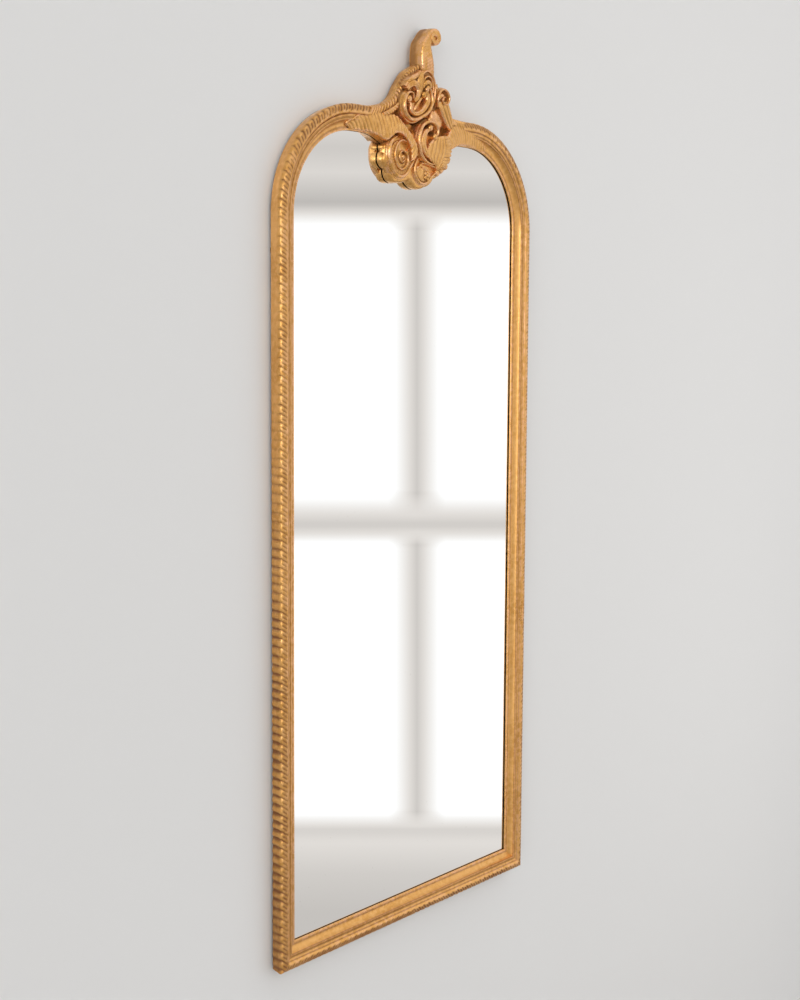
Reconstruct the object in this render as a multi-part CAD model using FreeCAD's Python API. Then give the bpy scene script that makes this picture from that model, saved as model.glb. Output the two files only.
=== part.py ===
import FreeCAD, Part
import math
import os

os.makedirs("parts", exist_ok=True)
V = FreeCAD.Vector

# A tall wall mirror with a moulded giltwood frame, rounded top corners and a carved crest.
# X runs across the mirror, -Y towards the viewer and +Z up. The plane y = 0 is the wall, which the
# pads on the back touch, and z = 0 is the underside of the bottom rail. Millimetres throughout.

# Driving dimensions
WIDTH = 890.0
FACE = 55.0             # width of the moulding, seen from the front
SPRING_Z = 1574.0       # height where the uprights end and the round corners begin
ARCH_R = 182.0          # radius of the round corners at the sight edge
STAND_OFF = 6.0         # thickness of the pads between frame and wall
FRAME_DEPTH = 14.0      # wood behind the front of the glass
GLASS_T = 3.0
LINER_T = 3.0
BOARD_T = 6.0
GLASS_LAP = 8.0         # how far the glass goes in behind the moulding
BOARD_LAP = 19.0
LAP_GAP = 1.0           # room around the glass and the back board
CREST_X = 165.0         # half the length of the crest block between the two arch rails
GROUND_H = 12.0         # how far the ground of the crest stands in front of the glass

# Where things lie, from the driving dimensions
EDGE_X = WIDTH / 2
SIGHT_X = EDGE_X - FACE
SIGHT_TOP = SPRING_Z + ARCH_R
ARCH_X = SIGHT_X - ARCH_R
BACK_Y = -STAND_OFF
GLASS_Y = BACK_Y - FRAME_DEPTH
LINER_Y = GLASS_Y + GLASS_T
BOARD_Y = LINER_Y + LINER_T
GLASS_REBATE = GLASS_LAP + LAP_GAP
BOARD_REBATE = BOARD_LAP + LAP_GAP
BACK_EDGE = 53.0        # where the outer side of the moulding meets its back
LAND = 35.0             # how far out from the sight edge the plates, pads and hangers are centred
TORUS_R = 12.0
TORUS_H = 9.0

X_AXIS, Y_AXIS, Z_AXIS = V(1, 0, 0), V(0, 1, 0), V(0, 0, 1)


def stroke_edge(points):
    """One edge: a line through two points, an arc through three, a smooth curve through more."""
    if len(points) == 2:
        return Part.LineSegment(*points).toShape()
    if len(points) == 3:
        return Part.Arc(*points).toShape()
    curve = Part.BSplineCurve()
    curve.interpolate(points)
    return curve.toShape()


def slab(strokes, y_back, y_front):
    """A plate whose front outline is drawn by strokes of (x, z) points, each joined to the next."""
    edges = [stroke_edge([V(x, y_back, z) for x, z in stroke]) for stroke in strokes]
    return Part.Face(Part.Wire(edges)).extrude(V(0, y_front - y_back, 0))


def box(x0, x1, y0, y1, z0, z1):
    return Part.makeBox(x1 - x0, y1 - y0, z1 - z0, V(x0, y0, z0))


def cylinder(radius, start, end):
    return Part.makeCylinder(radius, (end - start).Length, start, end - start)


def mirrored(shape):
    return shape.mirror(V(0, 0, 0), X_AXIS)


def save(name, shape):
    shape.exportStep("parts/" + name + ".step")


# ---------------------------------------------------------------- the moulding

def moulding_section(origin, outward):
    """The moulding's section at a point of the sight edge: w runs outward, h forward of the glass."""

    def at(w, h):
        return origin + outward * w + V(0, GLASS_Y - h, 0)

    torus_w = FACE - TORUS_R
    torus_start = torus_w - 8.5
    start_h = TORUS_H + math.sqrt(TORUS_R ** 2 - 8.5 ** 2)
    strokes = [
        [(0, 0), (0, 1.5)],
        [(0, 1.5), (0.6, 2.5), (2, 3)],
        [(2, 3), (7, 3)],
        [(7, 3), (17, 6.3), (21.7, 13.4)],
        [(21.7, 13.4), (28.1, 13.6)],
        [(28.1, 13.6), (31.8, 14.8), (33.2, 16.8)],
        [(33.2, 16.8), (torus_start, start_h)],
        [(torus_start, start_h), (torus_w, TORUS_H + TORUS_R), (FACE, TORUS_H)],
        [(FACE, TORUS_H), (BACK_EDGE, -FRAME_DEPTH)],
        [(BACK_EDGE, -FRAME_DEPTH), (BOARD_REBATE, -FRAME_DEPTH)],
        [(BOARD_REBATE, -FRAME_DEPTH), (BOARD_REBATE, GLASS_Y - BOARD_Y)],
        [(BOARD_REBATE, GLASS_Y - BOARD_Y), (GLASS_REBATE, GLASS_Y - BOARD_Y)],
        [(GLASS_REBATE, GLASS_Y - BOARD_Y), (GLASS_REBATE, 0)],
        [(GLASS_REBATE, 0), (0, 0)],
    ]
    edges = [stroke_edge([at(w, h) for w, h in stroke]) for stroke in strokes]
    return Part.Face(Part.Wire(edges))


def mitre_wedge():
    """Everything on the bottom rail's side of the right-hand mitre."""
    inner = V(SIGHT_X, 0, FACE)
    reach = 2 * WIDTH
    corners = [inner + V(-reach, 0, reach), inner + V(reach, 0, -reach), inner + V(-reach, 0, -reach)]
    return Part.Face(Part.makePolygon(corners + corners[:1])).extrude(V(0, -100, 0))


def right_stile():
    bar = moulding_section(V(SIGHT_X, 0, 0), X_AXIS).extrude(V(0, 0, SPRING_Z))
    return bar.cut(mitre_wedge())


def bottom_rail():
    bar = moulding_section(V(-EDGE_X, 0, FACE), -Z_AXIS).extrude(V(WIDTH, 0, 0))
    wedge = mitre_wedge()
    return bar.common(wedge).common(mirrored(wedge))


def right_arch_rail():
    section = moulding_section(V(SIGHT_X, 0, SPRING_Z), X_AXIS)
    corner = section.revolve(V(ARCH_X, 0, SPRING_Z), Y_AXIS, -90)
    top = moulding_section(V(CREST_X, 0, SIGHT_TOP), Z_AXIS).extrude(V(ARCH_X - CREST_X, 0, 0))
    return corner.fuse(top).removeSplitter()


# ---------------------------------------------------------------- glass and boards behind it

def arched_plate(lap, y_back, y_front):
    """The sight opening grown by lap on every side, as a plate."""
    side = SIGHT_X + lap
    top = SIGHT_TOP + lap
    bottom = FACE - lap
    radius = ARCH_R + lap
    slant = radius * math.sqrt(0.5)
    return slab(
        [
            [(-side, SPRING_Z), (-side, bottom)],
            [(-side, bottom), (side, bottom)],
            [(side, bottom), (side, SPRING_Z)],
            [(side, SPRING_Z), (ARCH_X + slant, SPRING_Z + slant), (ARCH_X, top)],
            [(ARCH_X, top), (-ARCH_X, top)],
            [(-ARCH_X, top), (-ARCH_X - slant, SPRING_Z + slant), (-side, SPRING_Z)],
        ],
        y_back,
        y_front,
    )


# ---------------------------------------------------------------- the crest

FINIAL_Z = 1917.0       # foot of the finial
PENDANT_H = 20.0        # how far the raised part of the pendant stands in front of the glass

# The outer edge of the crest on the left, up to the finial's foot
LEFT_EDGE = [
    (-CREST_X, 1812), (-125, 1819), (-98, 1829), (-76, 1845), (-62, 1866), (-48, 1883), (-30, 1901), (2, FINIAL_Z)
]
RIGHT_EDGE = [(45, FINIAL_Z), (55, 1898), (58, 1866), (80, 1832), (108, 1819), (135, 1814), (CREST_X, 1811)]
# The lower edge from the sight edge on the left, round the two lobes that hang in front of the glass
PENDANT_EDGE = [
    (-118, 1738), (-125, 1713), (-116, 1687), (-97, 1662), (-72, 1656), (-34, 1661), (-4, 1647), (24, 1654),
    (56, 1680), (86, 1692), (102, 1714), (107, 1738)
]


def crest_block():
    """The ground that the carving stands on, rebated for the glass and the back board."""
    block = slab(
        [
            [(-CREST_X, 1812), (-CREST_X, SIGHT_TOP)],
            [(-CREST_X, SIGHT_TOP), (-140, 1750), (-118, 1738)],
            PENDANT_EDGE,
            [(107, 1738), (132, 1751), (CREST_X, SIGHT_TOP)],
            [(CREST_X, SIGHT_TOP), (CREST_X, 1811)],
            RIGHT_EDGE[::-1],
            [(45, FINIAL_Z), (2, FINIAL_Z)],
            LEFT_EDGE[::-1],
        ],
        BACK_Y,
        GLASS_Y - GROUND_H,
    )
    glass_room = arched_plate(GLASS_REBATE, BACK_Y, GLASS_Y)
    board_room = arched_plate(BOARD_REBATE, BACK_Y, BOARD_Y)
    return block.cut(glass_room).cut(board_room)


def pendant_boss():
    """The thick lower part of the crest, laid on the ground and cut to the same lobes."""
    strokes = [PENDANT_EDGE, [(107, 1738), (0, 1762), (-118, 1738)]]
    return slab(strokes, GLASS_Y - GROUND_H, GLASS_Y - PENDANT_H)


# Each carved piece: its outline strokes, and how far its front stands in front of the glass
CARVINGS = {
    "left_volute": (
        [
            [(-119, 1711), (-72, 1758), (-25, 1711)],
            [(-25, 1711), (-72, 1664), (-119, 1711)],
        ],
        30,
    ),
    "centre_scroll": (
        [
            [(-19, 1722), (-27, 1750), (-18, 1780), (0, 1794), (22, 1790)],
            [(22, 1790), (26, 1770), (30, 1745), (18, 1722), (-2, 1714), (-19, 1722)],
        ],
        37,
    ),
    "pendant_shell": (
        [
            [(-29, 1703), (-31, 1677), (-19, 1659), (2, 1650), (22, 1656), (37, 1672), (55, 1689)],
            [(55, 1689), (20, 1706), (-12, 1710)],
            [(-12, 1710), (-29, 1703)],
        ],
        32,
    ),
    "rocaille_fan": (
        [
            [(34, 1712), (56, 1696), (84, 1697), (100, 1718), (107, 1741)],
            [(107, 1741), (96, 1758)],
            [(96, 1758), (66, 1762), (36, 1756)],
            [(36, 1756), (34, 1712)],
        ],
        33,
    ),
    "upper_scroll": (
        [
            [(-52, 1846), (-72, 1824), (-62, 1800), (-36, 1792), (0, 1796), (28, 1812), (32, 1840), (16, 1858)],
            [(16, 1858), (2, 1838), (-24, 1822), (-36, 1840), (-52, 1846)],
        ],
        36,
    ),
    "flame_leaf": (
        [
            [(-22, 1830), (-30, 1858), (-24, 1880), (-6, 1896), (8, 1884), (10, 1860), (0, 1840)],
            [(0, 1840), (-22, 1830)],
        ],
        34,
    ),
    "crown_curl": (
        [
            [(10, 1880), (12, 1904), (32, 1914), (48, 1902), (54, 1882), (42, 1868)],
            [(42, 1868), (24, 1866), (10, 1880)],
        ],
        34,
    ),
    "right_volute_leaf": (
        [
            [(56, 1826), (60, 1854), (74, 1872), (92, 1868), (100, 1850), (92, 1830), (104, 1808), (126, 1796)],
            [(126, 1796), (104, 1787), (80, 1796), (64, 1812), (56, 1826)],
        ],
        34,
    ),
    "left_wing": (
        [
            [(-240, 1772), (-200, 1796), (-150, 1803), (-105, 1800), (-70, 1786), (-30, 1752)],
            [(-30, 1752), (-66, 1764), (-114, 1742), (-150, 1755), (-200, 1760), (-240, 1772)],
        ],
        34,
    ),
    "right_wing": (
        [
            [(250, 1772), (216, 1787), (168, 1797), (118, 1790), (98, 1766)],
            [(98, 1766), (108, 1746), (150, 1757), (210, 1760), (250, 1772)],
        ],
        29,
    ),
    "left_shoulder": (
        [
            LEFT_EDGE,
            [(2, FINIAL_Z), (-8, 1902)],
            [(-8, 1902), (-38, 1880), (-54, 1856), (-74, 1830), (-98, 1812), (-128, 1803), (-CREST_X, 1797)],
            [(-CREST_X, 1797), (-CREST_X, 1812)],
        ],
        25,
    ),
    "right_shoulder": (
        [
            [(CREST_X, 1811), (135, 1814), (108, 1819)],
            [(108, 1819), (114, 1806), (136, 1799), (CREST_X, 1797)],
            [(CREST_X, 1797), (CREST_X, 1811)],
        ],
        25,
    ),
}


def carvings(grounds):
    """The applied carvings, each cut clear of the wood under it and of the pieces already set."""
    made = {}
    for name, (strokes, height) in CARVINGS.items():
        piece = slab(strokes, GLASS_Y, GLASS_Y - height)
        for other in list(grounds) + list(made.values()):
            if piece.BoundBox.intersect(other.BoundBox):
                piece = piece.cut(other)
        made[name] = max(piece.Solids, key=lambda solid: solid.Volume)
    return made


def plume_finial():
    """The curled leaf on top, standing on the end of the crest block."""
    strokes = [
        [(2, FINIAL_Z), (45, FINIAL_Z)],
        [(45, FINIAL_Z), (41, 1932), (37, 1950), (46, 1958), (64, 1962), (75, 1978), (67, 1994), (50, 1999),
         (31, 1992), (13, 1972), (2, 1952), (-1, 1936), (2, FINIAL_Z)],
    ]
    return slab(strokes, BACK_Y - 4, GLASS_Y - 30)


# ---------------------------------------------------------------- screws, plates and pads

def screw(x, z, seat_y, length, shank_r, head_r, head_h):
    """A slotted pan-head screw driven forward from the plane seat_y."""
    shank = cylinder(shank_r, V(x, seat_y, z), V(x, seat_y - length, z))
    head = cylinder(head_r, V(x, seat_y + head_h, z), V(x, seat_y, z))
    slot = box(x - head_r, x + head_r, seat_y + head_h / 2, seat_y + head_h, z - 0.4, z + 0.4)
    return head.fuse(shank).cut(slot)


def screw_hole(x, z, seat_y, length, shank_r):
    return cylinder(shank_r, V(x, seat_y, z), V(x, seat_y - length, z))


PLATE_T = 2.0
PLATE_W = 20.0
PLATE_SCREW = {"seat_y": BACK_Y + PLATE_T, "length": 14.0, "shank_r": 1.6}
PLATE_HEAD = {"head_r": 3.4, "head_h": 1.6}
BOARD_SCREW = {"seat_y": BOARD_Y + BOARD_T, "length": 14.0, "shank_r": 1.4}
BOARD_HEAD = {"head_r": 2.8, "head_h": 1.4}

LAND_X = SIGHT_X + LAND
LAND_Z = FACE - LAND

# Screw places as (x, z), for the right-hand side; the left-hand ones are mirrored
CORNER_SCREWS = [(LAND_X, 45), (LAND_X, 95), (LAND_X - 40, LAND_Z), (LAND_X - 90, LAND_Z)]
SPLICE_SCREWS = [(LAND_X, SPRING_Z + step) for step in (-30, -14, 14, 30)]
STRAP_Z = SIGHT_TOP + LAND
STRAP_SCREWS = [(20, STRAP_Z), (110, STRAP_Z), (190, STRAP_Z), (208, STRAP_Z)]


def both_sides(places):
    return places + [(-x, z) for x, z in places]


def board_screw_places():
    """Evenly down both sides, along the bottom, at the round corners and along the top."""
    margin = (GLASS_REBATE + BOARD_LAP) / 2
    side = SIGHT_X + margin
    diagonal = (ARCH_R + margin) * math.sqrt(0.5)
    places = [(side, FACE + 60 + step * 285) for step in range(6)]
    places += [(ARCH_X + diagonal, SPRING_Z + diagonal), (185, SIGHT_TOP + margin)]
    places += [(130, FACE - margin), (340, FACE - margin)]
    return both_sides(places)


def corner_plate():
    """An L-shaped iron plate over the right-hand mitre."""
    half = PLATE_W / 2
    y0, y1 = BACK_Y, BACK_Y + PLATE_T
    upright = box(LAND_X - half, LAND_X + half, y0, y1, LAND_Z - half, 110)
    foot = box(LAND_X - 105, LAND_X + half, y0, y1, LAND_Z - half, LAND_Z + half)
    return upright.fuse(foot).removeSplitter()


def splice_plate():
    half = PLATE_W / 2 - 1
    return box(LAND_X - half, LAND_X + half, BACK_Y, BACK_Y + PLATE_T, SPRING_Z - 38, SPRING_Z + 38)


def crest_strap():
    """A flat iron bar that ties the crest block to both arch rails."""
    half = PLATE_W / 2
    return box(-220, 220, BACK_Y, BACK_Y + PLATE_T, STRAP_Z - half, STRAP_Z + half)


def wall_pads():
    """Round pads glued to the back: three on the bottom rail and one high on each upright."""
    places = [(0, 19), (280, 19), (-280, 19), (LAND_X, 1500), (-LAND_X, 1500)]
    return [cylinder(12, V(x, BACK_Y, z), V(x, 0, z)) for x, z in places]


# ---------------------------------------------------------------- strap hangers with swinging rings

HANGER_Z = 1420.0       # height of the ring's pivot
PIVOT_Y = BACK_Y + 3.0
WIRE_R = 1.5
KNUCKLE_BORE_R = WIRE_R + 0.05
KNUCKLE_R = KNUCKLE_BORE_R + 1.0
KNUCKLE_LENGTH = 15.0
HANGER_T = 1.0
HANGER_SCREWS = [(LAND_X, HANGER_Z - 34), (LAND_X, HANGER_Z - 56)]
HANGER_SCREW = {"seat_y": BACK_Y + HANGER_T, "length": 20.0, "shank_r": 1.9}
HANGER_HEAD = {"head_r": 3.8, "head_h": 1.8}
LOOP_R = 10.5           # half the width of the ring, to the middle of its wire
LOOP_DROP = 13.0        # from the pivot down to the centre of its round end
CORNER_R = 3.0


def hanger_strap():
    """A strap whose top end is curled into a knuckle round the ring's straight side."""
    narrow = KNUCKLE_LENGTH / 2
    y0, y1 = BACK_Y, BACK_Y + HANGER_T
    neck = box(LAND_X - narrow, LAND_X + narrow, y0, y1, HANGER_Z - 28, HANGER_Z)
    plate = box(LAND_X - 9, LAND_X + 9, y0, y1, HANGER_Z - 66, HANGER_Z - 28)
    start = V(LAND_X - narrow, PIVOT_Y, HANGER_Z)
    end = V(LAND_X + narrow, PIVOT_Y, HANGER_Z)
    strap = neck.fuse(plate).fuse(cylinder(KNUCKLE_R, start, end)).removeSplitter()
    return strap.cut(cylinder(KNUCKLE_BORE_R, start, end))


def d_ring():
    """A closed ring of round wire: a straight side in the knuckle, two legs and a round end."""
    bend = HANGER_Z - CORNER_R
    middle = HANGER_Z - LOOP_DROP
    straight = LOOP_R - CORNER_R
    inset = CORNER_R * (1 - math.sqrt(0.5))

    def at(x, z):
        return V(LAND_X + x, PIVOT_Y, z)

    path = Part.Wire([
        stroke_edge([at(-LOOP_R, middle), at(0, middle - LOOP_R), at(LOOP_R, middle)]),
        stroke_edge([at(LOOP_R, middle), at(LOOP_R, bend)]),
        stroke_edge([at(LOOP_R, bend), at(LOOP_R - inset, HANGER_Z - inset), at(straight, HANGER_Z)]),
        stroke_edge([at(straight, HANGER_Z), at(-straight, HANGER_Z)]),
        stroke_edge([at(-straight, HANGER_Z), at(inset - LOOP_R, HANGER_Z - inset), at(-LOOP_R, bend)]),
        stroke_edge([at(-LOOP_R, bend), at(-LOOP_R, middle)]),
    ])
    section = Part.Wire([Part.Circle(at(-LOOP_R, middle), Z_AXIS, WIRE_R).toShape()])
    return path.makePipeShell([section], True, False)


# ---------------------------------------------------------------- assembly

SCREW_SETS = {
    "back_board_screws": (board_screw_places(), BOARD_SCREW, BOARD_HEAD),
    "corner_plate_screws": (both_sides(CORNER_SCREWS), PLATE_SCREW, PLATE_HEAD),
    "splice_plate_screws": (both_sides(SPLICE_SCREWS), PLATE_SCREW, PLATE_HEAD),
    "crest_strap_screws": (both_sides(STRAP_SCREWS), PLATE_SCREW, PLATE_HEAD),
    "hanger_screws": (both_sides(HANGER_SCREWS), HANGER_SCREW, HANGER_HEAD),
}


def drilled(shape):
    """The shape with every screw hole that falls in it."""
    for places, shank, _ in SCREW_SETS.values():
        for x, z in places:
            hole = screw_hole(x, z, **shank)
            if shape.BoundBox.intersect(hole.BoundBox):
                shape = shape.cut(hole)
    return shape


def build():
    wood = {
        "left_stile": mirrored(right_stile()),
        "right_stile": right_stile(),
        "bottom_rail": bottom_rail(),
        "left_arch_rail": mirrored(right_arch_rail()),
        "right_arch_rail": right_arch_rail(),
        "crest_block": crest_block(),
    }
    pieces = {name: drilled(shape) for name, shape in wood.items()}
    pieces["pendant_boss"] = pendant_boss()
    grounds = [wood["crest_block"], wood["left_arch_rail"], wood["right_arch_rail"], pieces["pendant_boss"]]
    pieces.update(carvings(grounds))
    pieces["plume_finial"] = plume_finial()
    pieces["mirror_glass"] = arched_plate(GLASS_LAP, LINER_Y, GLASS_Y)
    pieces["glass_liner"] = arched_plate(GLASS_LAP, BOARD_Y, LINER_Y)
    pieces["back_board"] = drilled(arched_plate(BOARD_LAP, BOARD_Y + BOARD_T, BOARD_Y))
    pieces["crest_strap"] = drilled(crest_strap())
    for name, maker in {"corner_plate": corner_plate, "splice_plate": splice_plate,
                        "hanger_strap": hanger_strap}.items():
        plate = drilled(maker())
        pieces[name + "_right"] = plate
        pieces[name + "_left"] = mirrored(plate)
    pieces["d_ring_right"] = d_ring()
    pieces["d_ring_left"] = mirrored(d_ring())
    for name, (places, shank, head) in SCREW_SETS.items():
        pieces[name] = Part.makeCompound([screw(x, z, **shank, **head) for x, z in places])
    pieces["wall_pads"] = Part.makeCompound(wall_pads())
    return pieces


for name, shape in build().items():
    save(name, shape)
    print(f"{name:22s} {len(shape.Solids)} solid  {shape.Volume / 1000:9.1f} cm3  valid {shape.isValid()}")
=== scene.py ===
import math

import bpy
import numpy as np
from mathutils import Matrix, Vector


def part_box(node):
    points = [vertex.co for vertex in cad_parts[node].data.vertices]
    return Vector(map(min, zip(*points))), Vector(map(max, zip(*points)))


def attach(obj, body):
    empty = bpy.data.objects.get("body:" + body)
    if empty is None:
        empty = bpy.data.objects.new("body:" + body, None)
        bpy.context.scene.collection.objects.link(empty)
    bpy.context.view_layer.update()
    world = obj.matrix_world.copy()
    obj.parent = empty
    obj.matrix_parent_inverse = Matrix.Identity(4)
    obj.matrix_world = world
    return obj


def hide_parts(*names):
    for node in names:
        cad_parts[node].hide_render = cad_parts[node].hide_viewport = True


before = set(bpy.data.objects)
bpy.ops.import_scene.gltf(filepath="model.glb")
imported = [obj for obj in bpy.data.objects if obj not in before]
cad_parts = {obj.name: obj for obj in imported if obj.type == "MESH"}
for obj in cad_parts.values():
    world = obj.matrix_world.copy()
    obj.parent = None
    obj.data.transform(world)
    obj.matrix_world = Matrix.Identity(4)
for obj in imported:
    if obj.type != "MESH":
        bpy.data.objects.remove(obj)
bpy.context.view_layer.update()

# The looks of a giltwood wall mirror. Lengths are millimetres in the row frame until a mesh is made.
MM = 0.001
BODY = "mirror_frame"


def corner_mm(node, which):
    return [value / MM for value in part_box(node)[which]]


# ---------------------------------------------------------------- sizes read from the frame
EDGE_X, BACK_Y, FACE = corner_mm("bottom_rail", 1)
GLASS_Y = corner_mm("mirror_glass", 0)[1]
GLASS_T = corner_mm("mirror_glass", 1)[1] - GLASS_Y
SPRING_Z = corner_mm("left_stile", 1)[2]
SIGHT_TOP = corner_mm("left_arch_rail", 1)[2] - FACE
CREST_X = corner_mm("crest_block", 1)[0]
SIGHT_X = EDGE_X - FACE
ARCH_R = SIGHT_TOP - SPRING_Z
ARCH_X = SIGHT_X - ARCH_R
FRAME_DEPTH = BACK_Y - GLASS_Y
GLASS_LAP = corner_mm("mirror_glass", 1)[0] - SIGHT_X
SILVER_DEPTH = GLASS_T / 1.5    # how deep the silver seems to lie behind the front of the glass


# ---------------------------------------------------------------- mesh helpers

def arc(start, through, end, count):
    """Points on the circle through three points of the plane, first and last included."""
    (ax, ay), (bx, by), (cx, cy) = start, through, end
    d = 2 * (ax * (by - cy) + bx * (cy - ay) + cx * (ay - by))
    a2, b2, c2 = ax * ax + ay * ay, bx * bx + by * by, cx * cx + cy * cy
    ux = (a2 * (by - cy) + b2 * (cy - ay) + c2 * (ay - by)) / d
    uy = (a2 * (cx - bx) + b2 * (ax - cx) + c2 * (bx - ax)) / d
    radius = math.hypot(ax - ux, ay - uy)
    t0 = math.atan2(ay - uy, ax - ux)
    t1 = t0 + (math.atan2(by - uy, bx - ux) - t0 + math.pi) % (2 * math.pi) - math.pi
    t2 = t1 + (math.atan2(cy - uy, cx - ux) - t1 + math.pi) % (2 * math.pi) - math.pi
    angles = np.linspace(t0, t2, count)
    return np.stack([ux + radius * np.cos(angles), uy + radius * np.sin(angles)], 1)


def smooth(x, low, high):
    """0 below low, 1 above high and an even ease between them."""
    t = np.clip((x - low) / (high - low), 0, 1)
    return t * t * (3 - 2 * t)


def new_object(name, verts, faces, materials, smooth_angle=35):
    mesh = bpy.data.meshes.new(name)
    mesh.from_pydata((np.asarray(verts) * MM).tolist(), [], faces)
    mesh.validate()
    for polygon in mesh.polygons:
        polygon.use_smooth = True
    mesh.set_sharp_from_angle(angle=math.radians(smooth_angle))
    piece = bpy.data.objects.new(name, mesh)
    bpy.context.scene.collection.objects.link(piece)
    for material in materials:
        mesh.materials.append(material)
    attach(piece, BODY)
    return piece


def add_field(piece, name, values):
    field = piece.data.attributes.new(name, "FLOAT", "POINT")
    field.data.foreach_set("value", np.asarray(values, np.float32).ravel())


def tube_faces(rings, sides):
    """Quads joining closed rings of points, and a face on each end."""
    faces = []
    for i in range(rings - 1):
        for j in range(sides):
            k = (j + 1) % sides
            faces.append((i * sides + j, (i + 1) * sides + j, (i + 1) * sides + k, i * sides + k))
    last = (rings - 1) * sides
    faces.append(tuple(range(sides)))
    faces.append(tuple(last + j for j in reversed(range(sides))))
    return faces


# ---------------------------------------------------------------- materials

def node_tree(name):
    material = bpy.data.materials.new(name)
    material.use_nodes = True
    tree = material.node_tree
    return material, tree, tree.nodes["Principled BSDF"]


def link(tree, source, target):
    tree.links.new(source, target)


def noise(tree, coordinates, scale, detail=3.0, roughness=0.5):
    node = tree.nodes.new("ShaderNodeTexNoise")
    node.inputs["Scale"].default_value = scale
    node.inputs["Detail"].default_value = detail
    node.inputs["Roughness"].default_value = roughness
    link(tree, coordinates, node.inputs["Vector"])
    return node.outputs["Fac"]


def ramp(tree, value, low, high, to_low=0.0, to_high=1.0):
    node = tree.nodes.new("ShaderNodeMapRange")
    node.inputs["From Min"].default_value = low
    node.inputs["From Max"].default_value = high
    node.inputs["To Min"].default_value = to_low
    node.inputs["To Max"].default_value = to_high
    link(tree, value, node.inputs["Value"])
    return node.outputs["Result"]


def math_node(tree, operation, first, second):
    node = tree.nodes.new("ShaderNodeMath")
    node.operation = operation
    for socket, value in zip(node.inputs, (first, second)):
        if isinstance(value, (int, float)):
            socket.default_value = value
        else:
            link(tree, value, socket)
    return node.outputs[0]


def mix_colour(tree, factor, first, second):
    node = tree.nodes.new("ShaderNodeMix")
    node.data_type = "RGBA"
    link(tree, factor, node.inputs["Factor"])
    for socket, value in ((node.inputs["A"], first), (node.inputs["B"], second)):
        if isinstance(value, tuple):
            socket.default_value = (*value, 1)
        else:
            link(tree, value, socket)
    return node.outputs["Result"]


def field(tree, name):
    node = tree.nodes.new("ShaderNodeAttribute")
    node.attribute_name = name
    return node.outputs["Fac"]


def bump(tree, height, strength, distance, shader):
    node = tree.nodes.new("ShaderNodeBump")
    node.inputs["Strength"].default_value = strength
    node.inputs["Distance"].default_value = distance
    link(tree, height, node.inputs["Height"])
    link(tree, node.outputs["Normal"], shader.inputs["Normal"])


def position(tree):
    return tree.nodes.new("ShaderNodeNewGeometry").outputs["Position"]


DEEP_GOLD, MID_GOLD, PALE_GOLD = (0.62, 0.30, 0.070), (0.74, 0.39, 0.115), (0.80, 0.45, 0.16)
RED_BOLE = (0.78, 0.42, 0.25)
# Dark brown for the recesses: partly age, partly painted shade
AGE_AND_SHADE_BROWN = (0.170, 0.052, 0.010)


def gilding(name, rough_low, rough_high, shade_and_age_strength):
    """Water gilding over red bole: painted shade and age darken the recesses; bole rubbed through on the high
    parts.
    """
    material, tree, shader = node_tree(name)
    where = position(tree)
    broad = noise(tree, where, 7.0, 4.0)
    fine = noise(tree, where, 90.0, 5.0, 0.65)
    grain = noise(tree, where, 420.0, 3.0, 0.6)
    gold = mix_colour(tree, ramp(tree, broad, 0.35, 0.65), DEEP_GOLD, MID_GOLD)
    gold = mix_colour(tree, ramp(tree, fine, 0.42, 0.62, 0.0, 0.8), gold, PALE_GOLD)
    worn = math_node(tree, "MULTIPLY", field(tree, "high"), ramp(tree, fine, 0.38, 0.60))
    worn = ramp(tree, worn, 0.15, 0.75, 0.0, 0.60)
    gold = mix_colour(tree, worn, gold, RED_BOLE)
    # Recesses get dark brown: partly age, partly painted shade where less light reaches
    age_and_shade_mix = math_node(tree, "ADD", field(tree, "shade_and_age_mask"), ramp(tree, fine, 0.35, 0.7, 0.10, -0.10))
    age_and_shade_mix = ramp(tree, age_and_shade_mix, 0.12, 1.0, 0.0, shade_and_age_strength)
    colour = mix_colour(tree, age_and_shade_mix, gold, AGE_AND_SHADE_BROWN)
    link(tree, colour, shader.inputs["Base Color"])
    rough = ramp(tree, broad, 0.3, 0.7, rough_low, rough_high)
    rough = math_node(tree, "ADD", rough, ramp(tree, age_and_shade_mix, 0.0, 1.0, 0.0, 0.22))
    rough = math_node(tree, "SUBTRACT", rough, ramp(tree, field(tree, "high"), 0.0, 1.0, 0.0, 0.08))
    rough = math_node(tree, "ADD", rough, ramp(tree, grain, 0.3, 0.7, -0.05, 0.05))
    link(tree, rough, shader.inputs["Roughness"])
    link(tree, ramp(tree, age_and_shade_mix, 0.1, 0.9, 0.82, 0.35), shader.inputs["Metallic"])
    bump(tree, math_node(tree, "ADD", fine, math_node(tree, "MULTIPLY", grain, 0.5)), 0.35, 0.0006, shader)
    return material


def timber(name, light, dark, along, scale=1.0):
    """Bare wood with its grain along one axis."""
    material, tree, shader = node_tree(name)
    stretch = tree.nodes.new("ShaderNodeMapping")
    stretch.inputs["Scale"].default_value = [1.2 if axis == along else 26.0 for axis in range(3)]
    link(tree, position(tree), stretch.inputs["Vector"])
    grain = noise(tree, stretch.outputs["Vector"], 3.0 * scale, 6.0, 0.6)
    pores = noise(tree, stretch.outputs["Vector"], 22.0 * scale, 3.0, 0.7)
    stain = noise(tree, position(tree), 3.5, 3.0)
    colour = mix_colour(tree, ramp(tree, grain, 0.35, 0.65), light, dark)
    darker = tuple(0.55 * c for c in dark)
    colour = mix_colour(tree, ramp(tree, pores, 0.60, 0.78, 0.0, 0.7), colour, darker)
    colour = mix_colour(tree, ramp(tree, stain, 0.48, 0.75, 0.0, 0.45), colour, darker)
    link(tree, colour, shader.inputs["Base Color"])
    link(tree, ramp(tree, grain, 0.3, 0.7, 0.62, 0.82), shader.inputs["Roughness"])
    bump(tree, math_node(tree, "ADD", grain, pores), 0.3, 0.0005, shader)
    return material


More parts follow.
